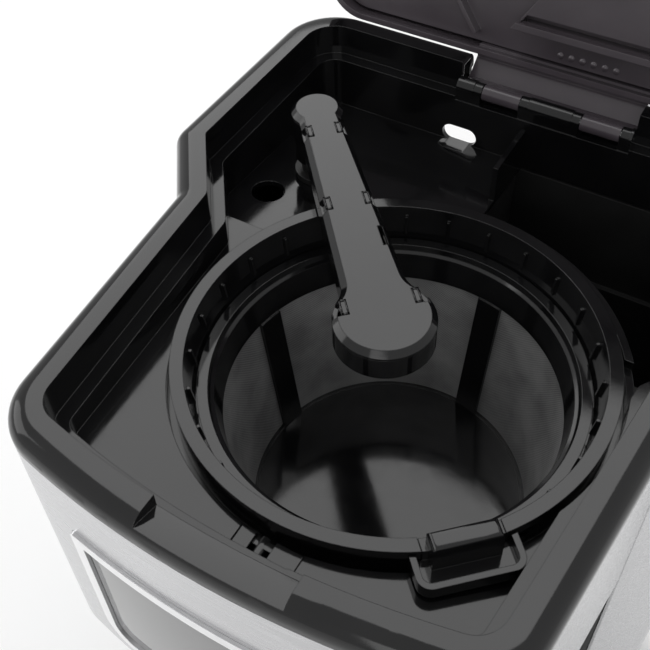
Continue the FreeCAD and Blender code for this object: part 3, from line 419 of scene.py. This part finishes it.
def bar(mesh: bmesh.types.BMesh, place: Matrix, size: tuple) -> None:
    """Adds a small block centred on `place`."""
    bmesh.ops.create_cube(mesh, size=1.0, matrix=place @ Matrix.Diagonal((*size, 1.0)))


@dataclass
class Casing(Assembly):
    """Top housing, steel skin, column and back."""

    nodes: tuple[str, ...] = ("top_housing", "front_wrap", "side_panel_left",
                              "side_panel_right", "head_floor", "column_front", "back_cover",
                              "cord_gland")
    screw_radius: float = 2.9 * MM
    screw_height: float = 1.0 * MM
    screw_sink: float = 0.3 * MM
    screw_across: float = 0.82
    screw_levels: tuple[float, ...] = (0.12, 0.9)

    def fittings(self) -> None:
        """The screws of the back cover."""
        low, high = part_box("back_cover")
        mesh = bmesh.new()
        for side in (-1, 1):
            for level in self.screw_levels:
                place = Vector((side * self.screw_across * high[0], high[1] - self.screw_sink,
                                low[2] + level * (high[2] - low[2])))
                turn = Matrix.Translation(place) @ Matrix.Rotation(-math.pi / 2, 4, "X")
                disc(mesh, turn, self.screw_radius, self.screw_height)
        self.add("back_cover_screws", mesh, "plated_steel", self.body("back_cover"))


@dataclass
class Base(Assembly):
    """Base shell, its cover, feet and screws."""

    nodes: tuple[str, ...] = ("base_housing", "base_trim", "bottom_cover", "rubber_feet",
                              "base_screws")


@dataclass
class Heating(Assembly):
    """Warming plate, heater and its safety parts, hoses and power board."""

    nodes: tuple[str, ...] = ("warming_plate", "plate_gasket", "heater_tube", "heater_clamp",
                              "thermostat", "thermal_fuses", "cold_hose", "riser_hose",
                              "power_board")


@dataclass
class WaterPath(Assembly):
    """Tank, valve, strainer and the post under the arm."""

    nodes: tuple[str, ...] = ("water_tank", "check_valve", "tank_strainer", "water_post",
                              "post_seal")


@dataclass
class SwingArm(Assembly):
    """The spray arm."""

    nodes: tuple[str, ...] = ("arm_trough", "arm_cover")
    clip_long: float = 6.0 * MM
    clip_wide: float = 2.4 * MM
    clip_rise: float = 0.35 * MM
    clip_sink: float = 0.1 * MM
    line: float = 0.6 * MM
    along: tuple[float, ...] = (13.5 * MM, 52.0 * MM, 98.0 * MM)
    beside: tuple[float, ...] = (5.2 * MM, 6.5 * MM, 11.2 * MM)
    head_radius: float = 15.8 * MM

    def fittings(self) -> None:
        """Raised frames round the six snap windows along the cover's edges."""
        joint = self.joint("arm_swing")
        low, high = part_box("arm_cover")
        pivot = Vector((joint["pos_m"][0], joint["pos_m"][1], high[2]))
        head = Vector((high[0] - self.head_radius, low[1] + self.head_radius, high[2]))
        heading = math.atan2(head.y - pivot.y, head.x - pivot.x)
        mesh = bmesh.new()
        for along, beside in zip(self.along, self.beside):
            for side in (-1, 1):
                centre = (along, side * beside, self.clip_rise / 2 - self.clip_sink)
                base = (Matrix.Translation(pivot) @ Matrix.Rotation(heading, 4, "Z")
                        @ Matrix.Translation(centre))
                for edge in (-1, 1):
                    across = Matrix.Translation((0, edge * (self.clip_wide - self.line) / 2, 0))
                    bar(mesh, base @ across, (self.clip_long, self.line, self.clip_rise))
                    end = Matrix.Translation((edge * (self.clip_long - self.line) / 2, 0, 0))
                    bar(mesh, base @ end, (self.line, self.clip_wide, self.clip_rise))
        self.add("arm_clip_frames", mesh, "black_gloss", self.body("arm_cover"))


@dataclass
class Brewing(Assembly):
    """Basket, mesh filter and drip stop."""

    nodes: tuple[str, ...] = ("brew_basket", "basket_grip", "filter_frame", "filter_mesh",
                              "drip_valve", "valve_seal", "drip_spring")
    spring_free: float = 5.0 * MM
    spring_pressed: float = 2.4 * MM
    spring_anchor_lift: float = 0.48 * MM

    def fittings(self) -> None:
        """Gives the return spring its own copy of its mesh."""
        spring = next(piece for piece in self.made if piece.name == "drip_spring_skin")
        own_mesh(spring)


@dataclass
class Lid(Assembly):
    """The open lid with its liner and pins."""

    nodes: tuple[str, ...] = ("lid_shell", "lid_liner", "hinge_pins")
    mark_radius: float = 1.3 * MM
    mark_height: float = 0.2 * MM
    mark_back: float = 20.0 * MM
    liner_face: float = 4.52 * MM
    mark_pitch: float = 4.2 * MM
    mark_count: int = 6

    def fittings(self) -> None:
        """A plain row of round ejector marks on the liner, beside the hinge."""
        joint = self.joint("lid_hinge")
        hinge = Vector(joint["pos_m"])
        swing = math.radians(joint["range_deg"][1])
        opened = Matrix.Translation(hinge) @ Matrix.Rotation(-swing, 4, "X")
        mesh = bmesh.new()
        for index in range(self.mark_count):
            place = Vector((index * self.mark_pitch, -self.mark_back, self.liner_face))
            down = Matrix.Translation(place) @ Matrix.Rotation(math.pi, 4, "X")
            disc(mesh, opened @ down, self.mark_radius, self.mark_height)
        self.add("liner_marks", mesh, "lid_gloss", self.body("lid_liner"))


@dataclass
class Display(Assembly):
    """Window, bezel, buttons and electronics."""

    nodes: tuple[str, ...] = ("display_bezel", "display_glass", "hour_button", "minute_button",
                              "program_button", "power_button", "lcd_module", "control_board")


@dataclass
class Carafe(Assembly):
    """Glass carafe with its band, handle and lid."""

    nodes: tuple[str, ...] = ("carafe_glass", "carafe_band", "carafe_handle", "carafe_lid")
    screw_radius: float = 2.6 * MM
    screw_height: float = 1.0 * MM
    screw_out: float = 1.6 * MM

    def fittings(self) -> None:
        """The screw that holds the handle to the band."""
        low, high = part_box("carafe_band")
        grip_low, grip_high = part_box("carafe_handle")
        middle = (grip_low[0] + grip_high[0]) / 2
        place = Vector((middle, low[1] - self.screw_out, (low[2] + high[2]) / 2))
        mesh = bmesh.new()
        turn = Matrix.Translation(place) @ Matrix.Rotation(math.pi / 2, 4, "X")
        disc(mesh, turn, self.screw_radius, self.screw_height)
        self.add("band_screw", mesh, "plated_steel", self.body("carafe_band"))


# ------------------------------------------------------------------ studio


@dataclass(frozen=True)
class Softbox:
    """A square lamp by its name, place, side and radiance."""

    name: str
    place: tuple
    size: float
    radiance: float


@dataclass
class Studio:
    """Floor, lights and camera."""

    azimuth: float = math.radians(32.18)
    elevation: float = math.radians(48.87)
    roll: float = math.radians(-2.34)
    aim: Vector = field(default_factory=lambda: Vector((-0.0190, -0.02385, 0.3178)))
    distance: float = 0.307
    lens: float = 54.97
    sensor: float = 36.0
    nearest: float = 10.0 * MM
    ambient: float = 0.62
    floor_half: float = 6.0
    floor_tones: tuple = ((0.93, 0.93, 0.93), (0.95, 0.95, 0.95))
    lights: tuple[Softbox, ...] = (
        Softbox("overhead", (-0.50, 0.80, 1.70), 1.7, 1.8),
        Softbox("front", (0.6, -1.9, 1.2), 1.2, 1.6),
        Softbox("left", (-1.9, -0.5, 1.1), 1.2, 1.4),
    )

    def floor(self) -> None:
        """A plain pale floor."""
        mesh = bmesh.new()
        bmesh.ops.create_grid(mesh, x_segments=1, y_segments=1, size=self.floor_half)
        data = bpy.data.meshes.new("floor")
        mesh.to_mesh(data)
        mesh.free()
        graph = Graph("pale floor")
        graph.tint(graph.noise(3.0), *self.floor_tones)
        graph.set(Roughness=0.8)
        data.materials.append(graph.material)
        ground = bpy.data.objects.new("floor", data)
        bpy.context.scene.collection.objects.link(ground)

    def light(self, box: Softbox) -> None:
        """Hangs a softbox, turned to the camera's aim."""
        lamp = bpy.data.lights.new(box.name, "AREA")
        lamp.shape = "SQUARE"
        lamp.size = box.size
        lamp.energy = box.radiance * math.pi * box.size * box.size
        holder = bpy.data.objects.new(box.name, lamp)
        holder.location = box.place
        toward = self.aim - Vector(box.place)
        holder.rotation_euler = toward.to_track_quat("-Z", "Y").to_euler()
        bpy.context.scene.collection.objects.link(holder)

    def camera(self) -> None:
        """The three-quarter view from above."""
        az, el = self.azimuth, self.elevation
        back = Vector((math.sin(az) * math.cos(el), -math.cos(az) * math.cos(el), math.sin(el)))
        right = Vector((math.cos(az), math.sin(az), 0.0))
        up = back.cross(right)
        turned_right = right * math.cos(self.roll) + up * math.sin(self.roll)
        turned_up = up * math.cos(self.roll) - right * math.sin(self.roll)
        data = bpy.data.cameras.new("camera")
        data.lens = self.lens
        data.sensor_width = self.sensor
        data.clip_start = self.nearest
        eye = bpy.data.objects.new("camera", data)
        axes = Matrix((turned_right, turned_up, back)).transposed().to_4x4()
        eye.matrix_world = Matrix.Translation(self.aim + back * self.distance) @ axes
        bpy.context.scene.collection.objects.link(eye)
        bpy.context.scene.camera = eye

    def build(self) -> None:
        """Sets up the whole studio."""
        world = bpy.data.worlds.new("studio")
        bpy.context.scene.world = world
        world.use_nodes = True
        sky = world.node_tree.nodes["Background"]
        sky.inputs["Color"].default_value = (1, 1, 1, 1)
        sky.inputs["Strength"].default_value = self.ambient
        self.floor()
        for box in self.lights:
            self.light(box)
        self.camera()
        bpy.context.scene.view_settings.view_transform = "Standard"


def main() -> None:
    """Builds every sub-assembly in order and reports its pieces."""
    logging.basicConfig(level=logging.INFO)
    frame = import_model()
    low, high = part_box("filter_mesh")
    brew = (Vector(low) + Vector(high)) / 2
    finishes = {slot: finish.build() for slot, finish in finish_list(brew).items()}
    for kind in (Casing, Base, Heating, WaterPath, SwingArm, Brewing, Lid, Display, Carafe):
        for piece in kind(frame, finishes).build():
            log.info("%s: %s", kind.__name__, piece.name)
    Studio().build()


if __name__ == "__main__":
    main()
